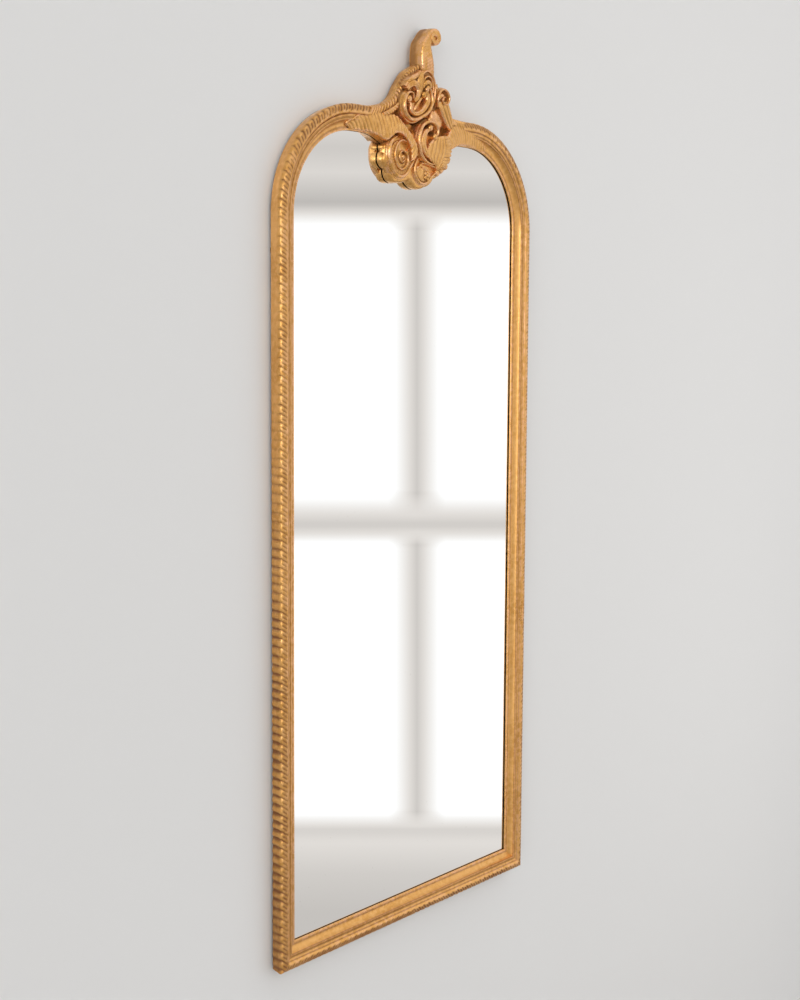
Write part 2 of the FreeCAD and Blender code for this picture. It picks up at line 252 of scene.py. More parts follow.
def metal(name, colour, rust, rough_low, rough_high, rust_share):
    """Old steel: uneven roughness, fine scratches and a little rust."""
    material, tree, shader = node_tree(name)
    where = position(tree)
    broad = noise(tree, where, 45.0, 4.0)
    fine = noise(tree, where, 600.0, 3.0)
    spots = ramp(tree, broad, 0.62 - rust_share, 0.72 - rust_share)
    link(tree, mix_colour(tree, spots, colour, rust), shader.inputs["Base Color"])
    link(tree, ramp(tree, spots, 0.0, 1.0, 1.0, 0.15), shader.inputs["Metallic"])
    link(tree, ramp(tree, fine, 0.3, 0.7, rough_low, rough_high), shader.inputs["Roughness"])
    bump(tree, math_node(tree, "ADD", fine, broad), 0.2, 0.0003, shader)
    return material


def felt(name, light, dark):
    material, tree, shader = node_tree(name)
    where = position(tree)
    fibres = noise(tree, where, 900.0, 4.0, 0.7)
    tufts = noise(tree, where, 140.0, 3.0)
    link(tree, mix_colour(tree, ramp(tree, fibres, 0.3, 0.7), dark, light), shader.inputs["Base Color"])
    link(tree, ramp(tree, tufts, 0.3, 0.7, 0.85, 0.98), shader.inputs["Roughness"])
    shader.inputs["Sheen Weight"].default_value = 0.4
    bump(tree, math_node(tree, "ADD", fibres, tufts), 0.6, 0.0008, shader)
    return material


def silvering(name):
    """Clear mirror, with the faintest haze and a few specks of age."""
    material, tree, shader = node_tree(name)
    where = position(tree)
    haze = noise(tree, where, 2.5, 3.0)
    specks = noise(tree, where, 260.0, 2.0)
    specked = ramp(tree, specks, 0.74, 0.80, 0.0, 0.5)
    colour = mix_colour(tree, specked, (0.93, 0.935, 0.93), (0.45, 0.42, 0.38))
    link(tree, colour, shader.inputs["Base Color"])
    shader.inputs["Metallic"].default_value = 1.0
    link(tree, ramp(tree, haze, 0.3, 0.7, 0.0, 0.012), shader.inputs["Roughness"])
    return material


GILT = gilding("water_gilding", 0.30, 0.42, 0.92)
CARVED_GILT = gilding("burnished_gilding", 0.26, 0.38, 0.72)
RAW_WOOD = timber("frame_back_wood", (0.42, 0.27, 0.14), (0.25, 0.145, 0.07), 2)
BOARD_WOOD = timber("back_board_wood", (0.50, 0.35, 0.20), (0.36, 0.225, 0.115), 2, 0.6)
REBATE_BLACK = timber("blackened_rebate", (0.020, 0.018, 0.016), (0.010, 0.009, 0.008), 2)
SILVER = silvering("silvered_glass")


# ---------------------------------------------------------------- the moulding

TORUS_R = 12.0
TORUS_H = 9.0
TORUS_W = FACE - TORUS_R
GADROON_PITCH = 18.5
GADROON_DEPTH = 2.6
CROWN = TORUS_R * 0.784            # from the inner edge of the gadrooned band to the crown of the torus
BAND_START = TORUS_W - 8.5
TURN = TORUS_R * math.pi / 2       # from the crown of the torus to the outer side
OUTER_BACK = 51.0
BOARD_REBATE = 20.0
GLASS_REBATE = 9.0
BOARD_H = -6.0
ARCH_START = EDGE_X + SPRING_Z     # run length from the middle of the bottom rail, up the stile


def moulding_profile():
    """The section as points (w outward, h forward), how far each lies round the band, and its material."""
    torus_start = math.pi - math.acos((TORUS_W - BAND_START) / TORUS_R)
    angles = np.linspace(torus_start, 0, 19)
    torus = np.stack([TORUS_W + TORUS_R * np.cos(angles), TORUS_H + TORUS_R * np.sin(angles)], 1)
    side = np.linspace((FACE, TORUS_H), (OUTER_BACK, -FRAME_DEPTH), 7)[1:]
    front = [
        np.linspace((0, 0), (0, 1.5), 2),
        arc((0, 1.5), (0.6, 2.5), (2, 3), 3)[1:],
        np.linspace((2, 3), (7, 3), 2)[1:],
        arc((7, 3), (17, 6.3), (21.7, 13.4), 10)[1:],
        np.array([(21.9, 14.5), (24.9, 14.6), (25.1, 13.2), (26.3, 13.2), (26.5, 14.6), (28.1, 14.6)]),
        arc((28.1, 14.6), (31.8, 15.4), (33.2, 16.8), 4)[1:],
        np.array([(33.7, 15.6)]),
    ]
    back = np.array([
        (BOARD_REBATE, -FRAME_DEPTH), (BOARD_REBATE, BOARD_H), (GLASS_REBATE, BOARD_H), (GLASS_REBATE, 0)
    ])
    front = np.concatenate(front)
    points = np.concatenate([front, torus, side, back])
    arc_length = TORUS_R * (torus_start - angles)
    around = np.concatenate([
        np.full(len(front), -1.0),
        arc_length,
        arc_length[-1] + np.hypot(*(side - (FACE, TORUS_H)).T),
        np.full(len(back), -1.0),
    ])
    normals = np.zeros_like(points)
    normals[len(front):len(front) + len(torus)] = np.stack([np.cos(angles), np.sin(angles)], 1)
    normals[len(front) + len(torus):len(front) + len(torus) + len(side)] = (1, 0)
    kinds = np.zeros(len(points), int)
    first_back = len(front) + len(torus) + len(side) - 1
    kinds[first_back] = 1
    kinds[first_back + 1:] = 2
    return points, around, normals, kinds


PROFILE, AROUND, PROFILE_NORMAL, PROFILE_KIND = moulding_profile()


def foot_of_stile(run):
    """1 on the lowest part of a stile, 0 elsewhere."""
    return smooth(run, EDGE_X - 60, EDGE_X) * (1 - smooth(run, EDGE_X + 60, EDGE_X + 340))


def gadroons(run, around):
    """How deep the carving goes, in millimetres, at a place along the run and round the torus.

    The grooves slant over the torus, outer end first, and cross the outer side squarely. They are deepest
    low down, on the bottom rail and round the arch. The side of a stile is smooth towards the top and shallow
    at the foot. Each lobe has a short nick in the middle of its crown.
    """
    on_rail = 1 - smooth(run, EDGE_X - 90, EDGE_X - 10)
    slant = np.clip(around - CROWN + 6, 0, TURN) * (0.55 + 0.35 * on_rail)
    phase = (run - slant) / GADROON_PITCH + 0.06 * np.sin(run / 41) + 0.05 * np.sin(run / 17)
    wave = np.abs(np.sin(math.pi * phase))
    nick = 1 - np.abs(np.cos(math.pi * phase)) ** 0.35
    nick = nick * smooth(around, CROWN - 3, CROWN + 1) * (1 - smooth(around, CROWN + 8, CROWN + 13))
    low_down = 1 - smooth(run, EDGE_X + 300, EDGE_X + 900)
    high_up = smooth(run, ARCH_START - 50, ARCH_START + 200)
    strength = (0.85 + 0.15 * np.sin(run / 23)) * (1 + 0.45 * low_down + 0.6 * high_up + 0.4 * on_rail)
    front = smooth(around, CROWN - 6, CROWN - 1)
    on_side = smooth(around, CROWN + TURN - 4, CROWN + TURN + 3)
    side_depth = 1 - smooth(run, EDGE_X + 700, EDGE_X + 1350) - 0.6 * foot_of_stile(run)
    over_crown = 0.75 * (1 - wave ** 0.35) * front * (1 - on_side)
    over_side = 0.7 * (1 - wave ** 1.1) * on_side * side_depth
    return GADROON_DEPTH * strength * (over_crown + over_side + 0.75 * nick)


# Where on the section painted shade and age darken the creases, as (w, h, reach), and where the gold is
# rubbed, as (w, h)
CREASE_SPOTS = [(7, 3, 2.2), (21.8, 13.5, 1.6), (25.7, 13.2, 1.4), (28.1, 14.6, 1.6), (33.7, 15.6, 2.2),
                (0, 0, 1.2)]
EDGE_SPOTS = [(2, 3), (6, 3), (22.5, 14.5), (33.2, 16.8)]


def moulding(name, runs, place, sharp=32):
    """A rail: runs are stations along it, and place turns stations and (w, h) into points and run lengths."""
    u = np.repeat(runs[:, None], len(PROFILE), 1)
    w = np.repeat(PROFILE[None, :, 0], len(runs), 0)
    h = np.repeat(PROFILE[None, :, 1], len(runs), 0)
    along = place(u, w, h)[1]
    around = np.repeat(AROUND[None], len(runs), 0)
    depth = np.where(around >= 0, gadroons(along, np.maximum(around, 0)), 0)
    w = w - depth * PROFILE_NORMAL[None, :, 0]
    h = h - depth * PROFILE_NORMAL[None, :, 1]
    points, along = place(u, w, h)
    faces = tube_faces(len(runs), len(PROFILE))
    materials = [GILT, RAW_WOOD, REBATE_BLACK]
    piece = new_object(name, points.reshape(-1, 3), faces, materials, sharp)
    kinds = np.concatenate([np.tile(PROFILE_KIND, len(runs) - 1), [1, 1]])
    if len(piece.data.polygons) == len(kinds):
        piece.data.polygons.foreach_set("material_index", kinds)
    # Creases and gadroon grooves are darkened: painted shade as well as age
    crevice = np.zeros(len(PROFILE))
    for spot_w, spot_h, size in CREASE_SPOTS:
        crevice += np.exp(-((PROFILE[:, 0] - spot_w) ** 2 + (PROFILE[:, 1] - spot_h) ** 2) / size ** 2)
    # Painted shade: the side of each stile is darker at its foot, where light from above falls less
    painted_foot_shade = 0.45 * foot_of_stile(along) * smooth(around, 20, 28)
    shade_and_age_mask = np.clip(0.55 * crevice[None] + np.clip(depth / 1.5, 0, 1) + painted_foot_shade, 0, 1)
    edge = np.zeros(len(PROFILE))
    for spot_w, spot_h in EDGE_SPOTS:
        edge += np.exp(-((PROFILE[:, 0] - spot_w) ** 2 + (PROFILE[:, 1] - spot_h) ** 2) / 4)
    crown = np.where(around >= 0, (1 - np.clip(depth, 0, 1)) * np.exp(-((around - 12) / 9) ** 2), 0)
    add_field(piece, "shade_and_age_mask", shade_and_age_mask)
    add_field(piece, "high", np.clip(edge[None] + crown, 0, 1))
    return piece


def place_stile(side):
    def place(u, w, h):
        z = (FACE - w) + (SPRING_Z - FACE + w) * u
        return np.stack([side * (SIGHT_X + w), GLASS_Y - h, z], -1), EDGE_X + z
    return place


def place_bottom(u, w, h):
    x = (SIGHT_X + w) * (2 * u - 1)
    return np.stack([x, GLASS_Y - h, FACE - w], -1), np.abs(x)


def place_arch(side):
    """Station 0 to 1 is the round corner, and 1 to 2 the level run to the crest block."""
    turn = (ARCH_R + TORUS_W) * math.pi / 2

    def place(u, w, h):
        angle = np.clip(u, 0, 1) * math.pi / 2
        level = np.clip(u - 1, 0, 1) * (ARCH_X - CREST_X)
        radius = ARCH_R + w
        x = ARCH_X + radius * np.cos(angle) - level
        z = SPRING_Z + radius * np.sin(angle)
        run = ARCH_START + angle / (math.pi / 2) * turn + level
        return np.stack([side * x, GLASS_Y - h, z], -1), run
    return place


STEP = 1.0


def stations(length):
    return np.linspace(0, 1, int(length / STEP) + 1)


def build_frame():
    corner = stations((ARCH_R + FACE) * math.pi / 2)
    level = 1 + stations(ARCH_X - CREST_X)[1:]
    arch = np.concatenate([corner, level])
    for name, side in (("left", -1), ("right", 1)):
        stile = moulding("carved_" + name + "_stile", stations(SPRING_Z), place_stile(side))
        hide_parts(name + "_stile")
        rail = moulding("carved_" + name + "_arch_rail", arch, place_arch(side))
        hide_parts(name + "_arch_rail")
    bottom = moulding("carved_bottom_rail", stations(2 * EDGE_X), place_bottom)
    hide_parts("bottom_rail")


def build_glass():
    """The silvered plate, lying as deep behind the sight edge as its glass makes it look."""
    side, low = SIGHT_X + GLASS_LAP, FACE - GLASS_LAP
    radius = ARCH_R + GLASS_LAP
    angles = np.linspace(0, math.pi / 2, 33)
    right = np.stack([ARCH_X + radius * np.cos(angles), SPRING_Z + radius * np.sin(angles)], 1)
    outline = np.concatenate([[(-side, low), (side, low)], right, right[::-1] * (-1, 1)])
    inset = 0.6
    rings = []
    middle = np.array([0, SPRING_Z / 2])
    for y, shrink in ((SILVER_DEPTH, inset), (SILVER_DEPTH + inset, 0), (GLASS_T - 0.05, 0)):
        ring = outline - np.sign(outline - middle) * shrink
        rings.append(np.stack([ring[:, 0], np.full(len(ring), GLASS_Y + y), ring[:, 1]], 1))
    points = np.concatenate(rings)
    plate = new_object("silvered_plate", points, tube_faces(3, len(outline)), [SILVER])
    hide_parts("mirror_glass")


build_frame()
build_glass()


# ---------------------------------------------------------------- carving helpers
# The crest is drawn on its face in x and z, with h for the height in front of the glass.

CARVE_STEP = 1.3
GROUND_H = 9.0


def spline(rows, step=CARVE_STEP, count=None):
    """A smooth curve through rows whose first two columns are x and z, in even steps; and its run lengths."""
    rows = np.array(rows, float)
    rows = np.concatenate([[2 * rows[0] - rows[1]], rows, [2 * rows[-1] - rows[-2]]])
    t = np.linspace(0, 1, 12, endpoint=False)[:, None]
    pieces = []
    for a, b, c, d in zip(rows, rows[1:], rows[2:], rows[3:]):
        bend = 2 * a - 5 * b + 4 * c - d
        pieces.append(0.5 * (2 * b + (c - a) * t + bend * t ** 2 + (3 * b - a - 3 * c + d) * t ** 3))
    curve = np.concatenate([*pieces, rows[-2:-1]])
    run = np.concatenate([[0], np.cumsum(np.hypot(*np.diff(curve[:, :2], axis=0).T))])
    even = np.linspace(0, run[-1], count or max(int(run[-1] / step), 8))
    return np.stack([np.interp(even, run, column) for column in curve.T], 1), even


def inward(curve):
    """Unit normals on the left of the way along a curve."""
    way = np.gradient(curve[:, :2], axis=0)
    way /= np.maximum(np.hypot(*way.T), 1e-6)[:, None]
    return np.stack([-way[:, 1], way[:, 0]], 1)


def rings_to_shell(x, z, h, wall=None):
    """A closed shell whose rings are the rows of the three grids."""
    points = np.stack([x, GLASS_Y - h, z], -1).reshape(-1, 3)
    wall = np.zeros(x.shape) if wall is None else wall
    return points, tube_faces(*x.shape), wall.ravel()


def skirted(x, z, h, foot):
    """A shell from a carved face, with walls from its long edges down to the foot."""
    x, z = (np.concatenate([grid, grid[:, -1:], grid[:, :1]], 1) for grid in (x, z))
    h = np.concatenate([h, np.full((len(h), 2), foot)], 1)
    wall = np.zeros(x.shape)
    wall[:, -2:] = 1
    return rings_to_shell(x, z, h, wall)


def roll(v):
    return np.sqrt(np.clip(1 - v * v, 0, 1))


def leafy(v):
    """Nearly flat, with soft edges."""
    return 0.80 + 0.20 * roll(v)


def pillow(v):
    return np.clip(1 - np.abs(v) ** 14, 0, 1) ** 0.6


def rimmed(v):
    """A roll with a groove beside each rim."""
    return roll(v) - 0.14 * np.exp(-((np.abs(v) - 0.60) / 0.10) ** 2)


def ribs(pitch, depth, lean=0.0):
    """Grooves across a band, a little uneven; lean is how far each runs on from one edge to the other."""
    def cut(run, v):
        phase = (run + lean * v + 0.5 * np.sin(run / 4.7)) / pitch
        depths = depth * (0.8 + 0.2 * np.sin(run / 7.3))
        return -depths * (1 - np.abs(np.sin(np.pi * phase)) ** 0.7) * roll(v) ** 0.3
    return cut


def flutes(count, depth):
    """Grooves along a band."""
    return lambda run, v: -depth * (1 - np.abs(np.sin(np.pi * count * (v + 1) / 2)) ** 0.6) * roll(v) ** 0.3


def plain(run, v):
    return 0 * run * v


def band(rows, section=roll, cut=plain, base=GROUND_H, across=21):
    """A carved band along a curve of rows (x, z, half width, height of its crown)."""
    curve, run = spline(rows)
    side = inward(curve)
    v = np.sin(np.linspace(-math.pi / 2, math.pi / 2, across))
    half, crown = curve[:, 2:3], curve[:, 3:4]
    x = curve[:, 0:1] + side[:, 0:1] * half * v
    z = curve[:, 1:2] + side[:, 1:2] * half * v
    h = base + (crown - base) * section(v) + cut(run[:, None], v[None]) * np.minimum(1, half / 4)
    return skirted(x, z, h, base - 3.0)


def sheet(low_rows, high_rows, bulge=3.0, cut=plain, count=160, across=31, scallop=(9, 0.0)):
    """A carved sheet between two edges of rows (x, z, height), with scallops on the high edge."""
    low, _ = spline(low_rows, count=count)
    high, high_run = spline(high_rows, count=count)
    run = np.linspace(0, high_run[-1], count)[:, None]
    v = np.linspace(0, 1, across)
    pitch, depth = scallop
    t = v * (1 + depth * (np.abs(np.sin(np.pi * run / pitch)) ** 0.7 - 1) * smooth(v, 0.55, 1))
    x, z, h = (low[:, k:k + 1] * (1 - t) + high[:, k:k + 1] * t for k in range(3))
    h = h + bulge * np.sin(math.pi * v) ** 0.8 + cut(run, 2 * v[None] - 1)
    h[:, [0, -1]] -= 2.0
    return skirted(x, z, h, GROUND_H - 3.0)


def dome(x, z, radius, top, base=None, sides=28):
    """A round boss; without a base it is a low one, standing on a straight stalk."""
    low = top - 0.75 * radius if base is None else base
    turn = np.linspace(0, 2 * math.pi, sides, endpoint=False)[None]
    lift = np.concatenate([[0], np.linspace(0, math.pi / 2, 9)[:-1]])[:, None]
    reach = radius * np.cos(lift)
    h = low + (top - low) * np.sin(lift) + 0 * turn
    h[0] = min(low, GROUND_H) - 3.0
    wall = np.zeros(h.shape)
    wall[0] = 1
    return rings_to_shell(x + reach * np.cos(turn), z + reach * np.sin(turn), h, wall)


def lobed(creases, bulges):
    """An outline through creases, swelling out on the right of the way between them."""
    points = []
    for (x0, z0), (x1, z1), bulge in zip(creases, creases[1:], bulges):
        length = math.hypot(x1 - x0, z1 - z0)
        t = np.linspace(0, 1, max(int(length / 1.2), 5), endpoint=False)
        swell = bulge * np.sin(math.pi * t) ** 0.7 / length
        x, z = x0 + (x1 - x0) * t + (z1 - z0) * swell, z0 + (z1 - z0) * t - (x1 - x0) * swell
        points.append(np.stack([x, z], 1))
    return np.concatenate([*points, [creases[-1]]])


def stack(outline, levels):
    """A block with the same outline at every level (height, inset), counter-clockwise."""
    side = inward(np.concatenate([outline[-1:], outline, outline[:1]]))[1:-1]
    rings = [(outline[:, 0] + side[:, 0] * inset, outline[:, 1] + side[:, 1] * inset) for _, inset in levels]
    x = np.stack([ring[0] for ring in rings])
    z = np.stack([ring[1] for ring in rings])
    h = np.stack([np.full(len(outline), level[0]) for level in levels])
    return rings_to_shell(x, z, h, np.ones(x.shape))


# ---------------------------------------------------------------- the crest

LEFT_EDGE = [(-168, 1811), (-125, 1819), (-98, 1829), (-76, 1845), (-62, 1866), (-48, 1883), (-30, 1901),
             (0, 1917)]
RIGHT_EDGE = [(47, 1917), (55, 1898), (58, 1866), (80, 1832), (108, 1819), (135, 1814), (168, 1811)]
SIGHT_LEFT = [(-165, 1756), (-140, 1750), (-111, 1738)]
SIGHT_RIGHT = [(107, 1738), (132, 1751), (165, 1756)]
CREASES = [(-111, 1738), (-116, 1722), (-103, 1685), (-75, 1658), (-33, 1666), (22, 1654), (54, 1674),
           (74, 1687), (94, 1694), (106, 1712), (107, 1738)]
BULGES = [6, 13, 11, 3, 11, 5, 4, 4, 4, 4]


def smooth_line(points):
    return spline(points)[0]


def crest_ground():
    top = np.concatenate([smooth_line(LEFT_EDGE), smooth_line(RIGHT_EDGE)])
    below = np.concatenate([smooth_line(SIGHT_LEFT), lobed(CREASES, BULGES)[1:-1], smooth_line(SIGHT_RIGHT)])
    outline = np.concatenate([below, top[::-1]])
    return [stack(outline, [(0.05, 0), (GROUND_H - 2, 0), (GROUND_H, 2.0)])]


def pendant_body():
    outline = np.concatenate([lobed(CREASES, BULGES), [(95, 1752), (40, 1770), (-30, 1770), (-95, 1752)]])
    levels = [(0.05, 0.0), (6, -0.4), (11, -0.2), (15, 0.6), (18, 2.2), (20.5, 6.0)]
    return [stack(outline, levels)]


SHOULDER, _ = spline([
    (-32, 10, 0), (-24, 14, 0), (-16, 17, 0), (-9, 18, 0), (-4, 16.5, 0), (-1, 12.5, 0), (0, 7, 0), (0, 2, 0)
])


def shoulder(rows, start_run, flip):
    """The gadrooned edge of the crest, carrying on the outer part of the moulding."""
    curve, run = spline(rows, step=STEP)
    outward = inward(curve) * (-1 if flip else 1)
    section_x, section_h = SHOULDER[:, 0], SHOULDER[:, 1]
    phase = (start_run + run[:, None] - 0.8 * section_x[None]) / (GADROON_PITCH / 2)
    phase = phase + 0.06 * np.sin(run[:, None] / 19)
    strokes = smooth(section_x, -22, -17) * smooth(section_h, 6, 12)
    depth = 1.5 * GADROON_DEPTH * (1 - np.abs(np.sin(math.pi * phase)) ** 0.75) * strokes
    back = np.tile([OUTER_BACK - FACE, BAND_START - FACE], (len(run), 1))
    reach = np.concatenate([section_x - 0.6 * depth, back], 1)
    joint_lift = 1 + 0.16 * (1 - smooth(run[:, None], 8, 40))
    height = np.concatenate([section_h * joint_lift - 0.8 * depth, np.full((len(run), 2), -FRAME_DEPTH)], 1)
    wall = np.concatenate([section_h < 6, [True, True]]) + 0 * height
    x, z = (curve[:, k:k + 1] + outward[:, k:k + 1] * reach for k in (0, 1))
    return rings_to_shell(x, z, height, wall)


CREST_RUN = ARCH_START + (ARCH_R + TORUS_W) * math.pi / 2 + ARCH_X - CREST_X


def left_shoulder():
    leaf = [(-124, 1798, 3, 21), (-105, 1804, 5, 23), (-80, 1818, 5, 24), (-58, 1837, 5.5, 25),
            (-40, 1857, 5, 25), (-22, 1875, 5, 25), (-8, 1889, 4, 25)]
    return [shoulder(LEFT_EDGE, CREST_RUN, False), band(leaf, leafy, ribs(8.5, 2.2, 4.0))]


def right_shoulder():
    leaf = [(60, 1880, 3, 22), (64, 1862, 4, 24), (84, 1838, 4, 24), (108, 1808, 5, 23), (140, 1800, 4, 20)]
    return [shoulder(RIGHT_EDGE[::-1], CREST_RUN, True), band(leaf, leafy, ribs(7.5, 1.6, -3.0))]


def left_wing():
    low = [(-224, 1760, 6), (-208, 1758, 6), (-188, 1758, 9), (-165, 1757, 14), (-138, 1750, 20),
           (-118, 1743, 25), (-104, 1752, 28), (-88, 1761, 29), (-70, 1759, 30), (-55, 1749, 31),
           (-44, 1735, 31), (-39, 1720, 30), (-38, 1706, 29)]
    high = [(-231, 1771, 7), (-220, 1780, 11), (-203, 1789, 14), (-170, 1797, 16), (-134, 1801, 17),
            (-102, 1802, 19), (-80, 1798, 23), (-63, 1783, 27), (-45, 1766, 30), (-31, 1753, 31),
            (-20, 1738, 31), (-18, 1720, 30)]
    curl = [(-226, 1764, 2, 9), (-233, 1769, 4, 11), (-228, 1776, 5, 13), (-218, 1779, 5, 15),
            (-208, 1786, 4, 17), (-197, 1791, 3, 17)]
    return [sheet(low, high, 3.0, ribs(11.5, 2.0, 8.0), count=420, across=41, scallop=(11, 0.05)),
            band(curl, roll, base=3.0)]


def right_wing():
    low = [(262, 1752, 4), (215, 1757, 6), (188, 1758, 9), (165, 1757, 14), (138, 1751, 21),
           (118, 1744, 25), (102, 1738, 27)]
    high = [(272, 1762, 7), (236, 1781, 12), (205, 1790, 15), (170, 1797, 17), (138, 1799, 19),
            (114, 1790, 23), (92, 1768, 26)]
    return [sheet(low, high, 3.0, ribs(11.5, 1.7, -11.0), count=360, across=41, scallop=(11, 0.05))]


def polar(x, z, turns, radius_x, radius_z, height):
    """Rows of (x, z, height) round an ellipse; turns in degrees."""
    angles = np.radians(turns)
    return np.stack([x + radius_x * np.cos(angles), z + radius_z * np.sin(angles), height + 0 * angles], 1)


def left_volute():
    rim = [(-84, 1754, 4, 26), (-99, 1746, 7, 28), (-108, 1733, 8.5, 29), (-110, 1718, 9, 29),
           (-108, 1702, 9, 29), (-102, 1689, 9, 29), (-92, 1678, 9, 29), (-79, 1671, 9, 29),
           (-64, 1671, 8, 29), (-51, 1678, 7, 28), (-41, 1689, 6, 28), (-30, 1705, 5, 29),
           (-23, 1720, 3, 28)]
    curl = [(-51, 1745, 3, 27), (-64, 1748, 4.5, 28), (-78, 1743, 5, 28), (-88, 1731, 5, 28),
            (-92, 1717, 5, 28), (-89, 1701, 5, 28), (-80, 1689, 5, 28), (-67, 1686, 5, 28),
            (-54, 1693, 5, 29), (-48, 1706, 5, 29), (-51, 1718, 5, 29), (-61, 1725, 4.5, 29),
            (-72, 1723, 4.5, 29), (-78, 1715, 4.5, 29), (-77, 1706, 4, 29), (-70, 1701, 4, 29),
            (-62, 1705, 3.5, 29)]
    turns = np.linspace(95, 400, 15)
    low, high = polar(-70, 1709, turns, 12, 12, 26), polar(-70, 1711, turns, 37, 37, 25)
    return [band(rim, rimmed), band(curl, rimmed), sheet(low, high, -1.0, ribs(8.0, 1.2, 2.0), count=260),
            dome(-66, 1712, 5, 30), dome(-70, 1709, 20, 27)]


def centre_scroll():
    rows = [(43, 1763, 4, 33), (51, 1771, 6, 35), (50, 1784, 7, 36), (38, 1793, 7.5, 36),
            (22, 1795, 7.5, 36), (6, 1790, 8, 36), (-6, 1780, 8, 36), (-12, 1767, 8.5, 36),
            (-14, 1752, 8.5, 35), (-11, 1737, 8, 35), (-6, 1724, 7.5, 34), (3, 1714, 7, 34),
            (17, 1707, 6, 33), (34, 1704, 4.5, 32), (50, 1706, 3, 31)]
    inner = [(22, 1778, 4, 32), (10, 1770, 7, 33), (3, 1753, 8.5, 33), (6, 1738, 8.5, 33),
             (16, 1726, 7, 32), (30, 1718, 5, 31), (44, 1715, 3, 30)]
    lobes = [(43, 1764, 7, 35), (28, 1782, 7, 34), (24, 1799, 6, 34)]
    return [band(rows, rimmed), band(inner, leafy, flutes(3, 1.6)), *(dome(*lobe) for lobe in lobes)]


def rocaille_fan():
    low = [(48, 1764, 29), (34, 1756, 30), (21, 1744, 31), (16, 1730, 31), (21, 1717, 31), (34, 1708, 29),
           (48, 1702, 27)]
    high = [(88, 1771, 28), (101, 1758, 30), (107, 1742, 30), (106, 1725, 29), (98, 1710, 28),
            (84, 1699, 27), (68, 1692, 26), (54, 1690, 25)]

    def cut(run, v):
        arcs = flutes(7, 2.2)(run + 0 * v, v + 0.05 * np.sin(run / 11))
        return arcs * (1 - smooth(v, 0.35, 0.6)) + ribs(9, 2.0, 8)(run, v) * smooth(v, 0.35, 0.6)

    beads = [(75, 1695, 8, 27), (93, 1704, 8, 26), (60, 1687, 8, 28), (102, 1718, 8, 26),
             (105, 1733, 6, 26)]
    leaf = sheet(low, high, 3.0, cut, count=240, across=73, scallop=(9, 0.06))
    return [leaf, *(dome(*bead) for bead in beads)]


def pendant_shell():
    rim = [(-10, 1714, 3.5, 26), (-19, 1704, 5, 28), (-22, 1689, 6, 28), (-18, 1675, 7, 28),
           (-7, 1664, 7.5, 28), (9, 1660, 7, 28), (23, 1665, 6.5, 28), (34, 1674, 6, 28), (47, 1683, 5, 27),
           (62, 1691, 3, 26)]
    ruffle = [(-8, 1694, 3, 27), (1, 1703, 4.5, 29), (17, 1704, 5, 29), (36, 1701, 5, 29),
              (53, 1698, 4.5, 28), (62, 1692, 3, 26)]
    turns = np.linspace(165, 345, 11)
    hub, edge = polar(4, 1698, turns, 4, 4, 25), polar(10, 1689, turns, 26, 25, 25)
    fan = sheet(hub, edge, 2.0, ribs(8.0, 1.6), count=190)
    petals = np.arange(5) * math.tau / 5
    rosette = [dome(19 + 7 * math.cos(a), 1678 + 7 * math.sin(a), 4.4, 30) for a in petals]
    return [band(rim, rimmed), fan, band(ruffle, roll, ribs(6.5, 2.4)), *rosette, dome(19, 1678, 4.5, 32)]


def upper_scroll():
    rows = [(-34, 1838, 3, 32), (-37, 1849, 4.5, 34), (-52, 1850, 6, 35), (-64, 1838, 7.5, 36),
            (-68, 1823, 8.5, 36), (-64, 1807, 9, 36), (-53, 1797, 9, 36), (-38, 1793, 9, 36),
            (-21, 1796, 8.5, 36), (-3, 1804, 8, 36), (14, 1813, 8, 36), (26, 1826, 7.5, 36),
            (31, 1840, 7, 35), (29, 1855, 6, 34), (22, 1867, 5, 33), (12, 1871, 3, 32)]
    inner = [(-42, 1829, 3, 30), (-40, 1813, 5, 32), (-24, 1807, 6, 32), (-6, 1813, 6.5, 33),
             (8, 1824, 7, 33), (17, 1838, 7, 34), (15, 1852, 6, 34), (6, 1857, 4, 33)]
    flap = [(-26, 1813, 4, 26), (-20, 1824, 7, 29), (-10, 1836, 7, 30), (0, 1846, 5, 30), (4, 1854, 3, 30)]
    lobes = [(-48, 1837, 8, 34), (2, 1850, 7, 35), (12, 1862, 6, 35)]
    return [band(rows, rimmed), band(inner, leafy, flutes(2, 1.4)), band(flap, roll, flutes(2, 1.5)),
            dome(-20, 1827, 38, 24, GROUND_H), *(dome(*lobe) for lobe in lobes)]


def flame_leaf():
    hook = [(-54, 1856, 4, 31), (-45, 1866, 6.5, 33), (-29, 1871, 7.5, 34), (-16, 1860, 7.5, 34),
            (-20, 1844, 6.5, 34), (-31, 1833, 4, 32)]
    tall = [(-14, 1846, 5, 30), (-8, 1862, 10, 31), (-6, 1877, 12, 32), (-3, 1889, 9, 31), (4, 1901, 3, 28)]
    strip = [(-58, 1862, 3, 28), (-46, 1874, 5, 30), (-30, 1884, 6, 31), (-16, 1891, 5, 30),
             (-4, 1900, 3, 28)]
    return [band(hook, leafy, flutes(3, 2.0)), band(tall, leafy, flutes(3, 1.4)),
            band(strip, leafy, ribs(7.0, 2.0, 6.0))]


def crown_curl():
    outer = [(-6, 1882, 3, 28), (1, 1895, 5, 31), (14, 1902, 5.5, 32), (28, 1899, 5.5, 32),
             (38, 1888, 5.5, 32), (43, 1873, 5.5, 32), (44, 1857, 5, 31), (42, 1841, 4, 30),
             (36, 1828, 3, 29)]
    middle = [(2, 1877, 3, 30), (9, 1888, 5, 32), (20, 1891, 5, 33), (30, 1885, 5, 33), (34, 1872, 5, 33),
              (35, 1858, 3.5, 32)]
    inner = [(1, 1866, 3.5, 31), (9, 1876, 5.5, 34), (21, 1878, 5.5, 34), (27, 1868, 4, 33)]
    return [band(outer, rimmed), band(middle, rimmed), band(inner, leafy, ribs(6.0, 1.4)),
            dome(16, 1867, 5, 34), dome(20, 1868, 26, 27, GROUND_H)]


